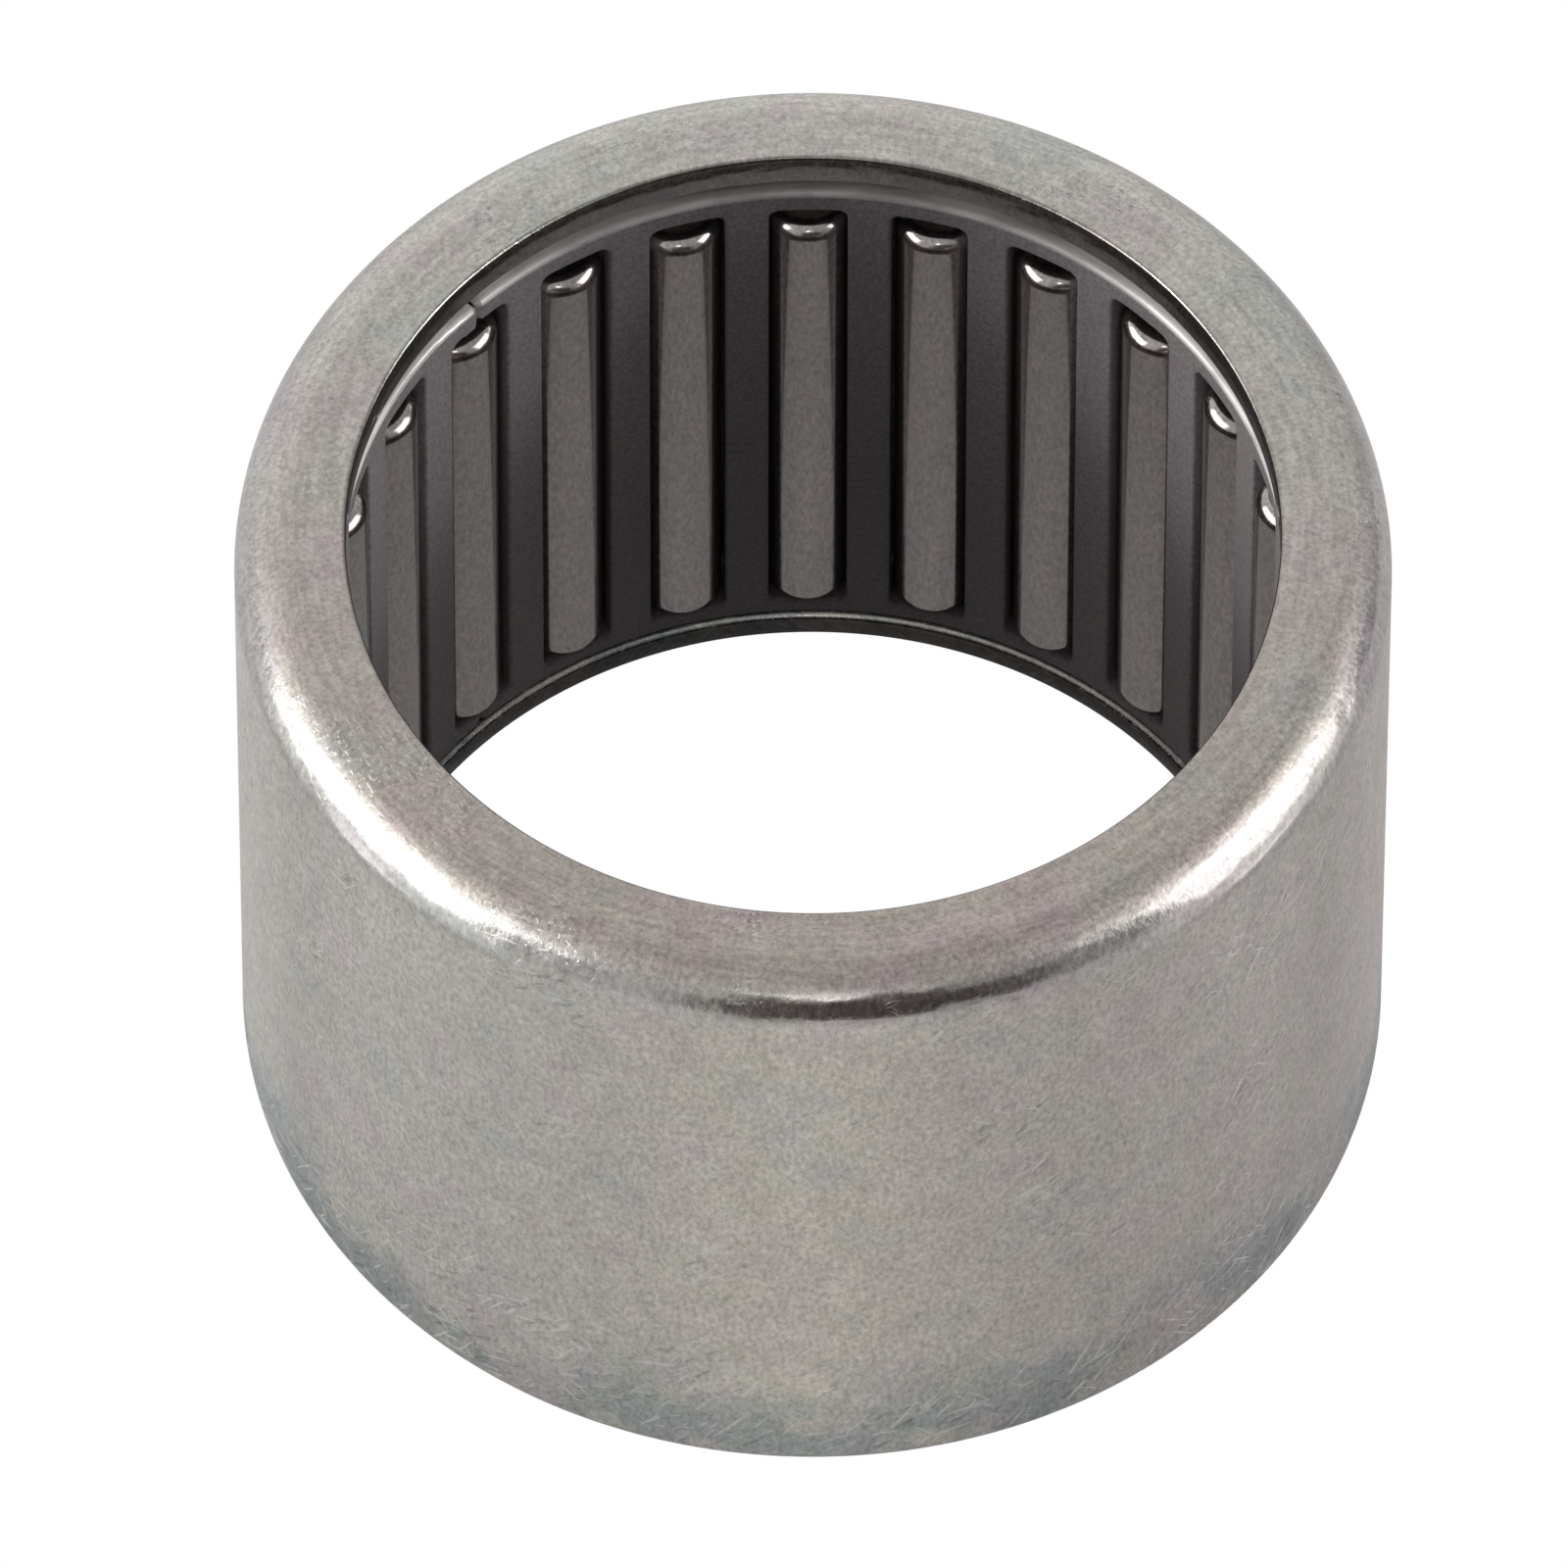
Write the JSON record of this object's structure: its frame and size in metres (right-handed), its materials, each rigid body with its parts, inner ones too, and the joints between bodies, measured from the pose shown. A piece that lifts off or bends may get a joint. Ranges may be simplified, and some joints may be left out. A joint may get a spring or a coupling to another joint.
{
  "type": "needle roller bearing",
  "caption": "Open-ended drawn-cup needle roller bearing: a thin steel cup pressed into a housing, with caged needles that run directly on a shaft.",
  "frame": {"origin": "middle of the bearing on its axis, half way between its two end faces", "axes": "+Z along the bearing's axis, out of the end with the thick stamped lip; +X and +Y are radial"},
  "size_m": [0.0318, 0.0318, 0.0222],
  "materials": {
    "cup_steel": "satin",
    "cage_steel": "satin",
    "needle_steel": "satin"
  },
  "bodies": {
    "cup": {"drawn_cup": "cup_steel"},
    "cage": {"needle_cage": "cage_steel"},
    "needle_01": {"needle_roller_01": "needle_steel"},
    "needle_02": {"needle_roller_02": "needle_steel"},
    "needle_03": {"needle_roller_03": "needle_steel"},
    "needle_04": {"needle_roller_04": "needle_steel"},
    "needle_05": {"needle_roller_05": "needle_steel"},
    "needle_06": {"needle_roller_06": "needle_steel"},
    "needle_07": {"needle_roller_07": "needle_steel"},
    "needle_08": {"needle_roller_08": "needle_steel"},
    "needle_09": {"needle_roller_09": "needle_steel"},
    "needle_10": {"needle_roller_10": "needle_steel"},
    "needle_11": {"needle_roller_11": "needle_steel"},
    "needle_12": {"needle_roller_12": "needle_steel"},
    "needle_13": {"needle_roller_13": "needle_steel"},
    "needle_14": {"needle_roller_14": "needle_steel"},
    "needle_15": {"needle_roller_15": "needle_steel"},
    "needle_16": {"needle_roller_16": "needle_steel"},
    "needle_17": {"needle_roller_17": "needle_steel"},
    "needle_18": {"needle_roller_18": "needle_steel"},
    "needle_19": {"needle_roller_19": "needle_steel"},
    "needle_20": {"needle_roller_20": "needle_steel"},
    "needle_21": {"needle_roller_21": "needle_steel"},
    "needle_22": {"needle_roller_22": "needle_steel"},
    "needle_23": {"needle_roller_23": "needle_steel"},
    "needle_24": {"needle_roller_24": "needle_steel"}
  },
  "joints": [
    {"name": "cage_spin", "type": "hinge", "parent": "cup", "child": "cage", "pos_m": [0, 0, 0], "axis": [0, 0, 1], "continuous": true},
    {"name": "needle_spin_01", "type": "hinge", "parent": "cage", "child": "needle_01", "pos_m": [-0.00017, 0.01389, -0.00091], "axis": [0, 0, 1], "continuous": true},
    {"name": "needle_spin_02", "type": "hinge", "parent": "cage", "child": "needle_02", "pos_m": [-0.00376, 0.01337, -0.00091], "axis": [0, 0, 1], "continuous": true},
    {"name": "needle_spin_03", "type": "hinge", "parent": "cage", "child": "needle_03", "pos_m": [-0.00709, 0.01194, -0.00091], "axis": [0, 0, 1], "continuous": true},
    {"name": "needle_spin_04", "type": "hinge", "parent": "cage", "child": "needle_04", "pos_m": [-0.00994, 0.0097, -0.00091], "axis": [0, 0, 1], "continuous": true},
    {"name": "needle_spin_05", "type": "hinge", "parent": "cage", "child": "needle_05", "pos_m": [-0.01211, 0.0068, -0.00091], "axis": [0, 0, 1], "continuous": true},
    {"name": "needle_spin_06", "type": "hinge", "parent": "cage", "child": "needle_06", "pos_m": [-0.01346, 0.00343, -0.00091], "axis": [0, 0, 1], "continuous": true},
    {"name": "needle_spin_07", "type": "hinge", "parent": "cage", "child": "needle_07", "pos_m": [-0.01389, -0.00017, -0.00091], "axis": [0, 0, 1], "continuous": true},
    {"name": "needle_spin_08", "type": "hinge", "parent": "cage", "child": "needle_08", "pos_m": [-0.01337, -0.00376, -0.00091], "axis": [0, 0, 1], "continuous": true},
    {"name": "needle_spin_09", "type": "hinge", "parent": "cage", "child": "needle_09", "pos_m": [-0.01194, -0.00709, -0.00091], "axis": [0, 0, 1], "continuous": true},
    {"name": "needle_spin_10", "type": "hinge", "parent": "cage", "child": "needle_10", "pos_m": [-0.0097, -0.00994, -0.00091], "axis": [0, 0, 1], "continuous": true},
    {"name": "needle_spin_11", "type": "hinge", "parent": "cage", "child": "needle_11", "pos_m": [-0.0068, -0.01211, -0.00091], "axis": [0, 0, 1], "continuous": true},
    {"name": "needle_spin_12", "type": "hinge", "parent": "cage", "child": "needle_12", "pos_m": [-0.00343, -0.01346, -0.00091], "axis": [0, 0, 1], "continuous": true},
    {"name": "needle_spin_13", "type": "hinge", "parent": "cage", "child": "needle_13", "pos_m": [0.00017, -0.01389, -0.00091], "axis": [0, 0, 1], "continuous": true},
    {"name": "needle_spin_14", "type": "hinge", "parent": "cage", "child": "needle_14", "pos_m": [0.00376, -0.01337, -0.00091], "axis": [0, 0, 1], "continuous": true},
    {"name": "needle_spin_15", "type": "hinge", "parent": "cage", "child": "needle_15", "pos_m": [0.00709, -0.01194, -0.00091], "axis": [0, 0, 1], "continuous": true},
    {"name": "needle_spin_16", "type": "hinge", "parent": "cage", "child": "needle_16", "pos_m": [0.00994, -0.0097, -0.00091], "axis": [0, 0, 1], "continuous": true},
    {"name": "needle_spin_17", "type": "hinge", "parent": "cage", "child": "needle_17", "pos_m": [0.01211, -0.0068, -0.00091], "axis": [0, 0, 1], "continuous": true},
    {"name": "needle_spin_18", "type": "hinge", "parent": "cage", "child": "needle_18", "pos_m": [0.01346, -0.00343, -0.00091], "axis": [0, 0, 1], "continuous": true},
    {"name": "needle_spin_19", "type": "hinge", "parent": "cage", "child": "needle_19", "pos_m": [0.01389, 0.00017, -0.00091], "axis": [0, 0, 1], "continuous": true},
    {"name": "needle_spin_20", "type": "hinge", "parent": "cage", "child": "needle_20", "pos_m": [0.01337, 0.00376, -0.00091], "axis": [0, 0, 1], "continuous": true},
    {"name": "needle_spin_21", "type": "hinge", "parent": "cage", "child": "needle_21", "pos_m": [0.01194, 0.00709, -0.00091], "axis": [0, 0, 1], "continuous": true},
    {"name": "needle_spin_22", "type": "hinge", "parent": "cage", "child": "needle_22", "pos_m": [0.0097, 0.00994, -0.00091], "axis": [0, 0, 1], "continuous": true},
    {"name": "needle_spin_23", "type": "hinge", "parent": "cage", "child": "needle_23", "pos_m": [0.0068, 0.01211, -0.00091], "axis": [0, 0, 1], "continuous": true},
    {"name": "needle_spin_24", "type": "hinge", "parent": "cage", "child": "needle_24", "pos_m": [0.00343, 0.01346, -0.00091], "axis": [0, 0, 1], "continuous": true}
  ],
  "couplings": [
    {"joint": "needle_spin_01", "follows": "cage_spin", "ratio": -12.68},
    {"joint": "needle_spin_02", "follows": "cage_spin", "ratio": -12.68},
    {"joint": "needle_spin_03", "follows": "cage_spin", "ratio": -12.68},
    {"joint": "needle_spin_04", "follows": "cage_spin", "ratio": -12.68},
    {"joint": "needle_spin_05", "follows": "cage_spin", "ratio": -12.68},
    {"joint": "needle_spin_06", "follows": "cage_spin", "ratio": -12.68},
    {"joint": "needle_spin_07", "follows": "cage_spin", "ratio": -12.68},
    {"joint": "needle_spin_08", "follows": "cage_spin", "ratio": -12.68},
    {"joint": "needle_spin_09", "follows": "cage_spin", "ratio": -12.68},
    {"joint": "needle_spin_10", "follows": "cage_spin", "ratio": -12.68},
    {"joint": "needle_spin_11", "follows": "cage_spin", "ratio": -12.68},
    {"joint": "needle_spin_12", "follows": "cage_spin", "ratio": -12.68},
    {"joint": "needle_spin_13", "follows": "cage_spin", "ratio": -12.68},
    {"joint": "needle_spin_14", "follows": "cage_spin", "ratio": -12.68},
    {"joint": "needle_spin_15", "follows": "cage_spin", "ratio": -12.68},
    {"joint": "needle_spin_16", "follows": "cage_spin", "ratio": -12.68},
    {"joint": "needle_spin_17", "follows": "cage_spin", "ratio": -12.68},
    {"joint": "needle_spin_18", "follows": "cage_spin", "ratio": -12.68},
    {"joint": "needle_spin_19", "follows": "cage_spin", "ratio": -12.68},
    {"joint": "needle_spin_20", "follows": "cage_spin", "ratio": -12.68},
    {"joint": "needle_spin_21", "follows": "cage_spin", "ratio": -12.68},
    {"joint": "needle_spin_22", "follows": "cage_spin", "ratio": -12.68},
    {"joint": "needle_spin_23", "follows": "cage_spin", "ratio": -12.68},
    {"joint": "needle_spin_24", "follows": "cage_spin", "ratio": -12.68}
  ]
}
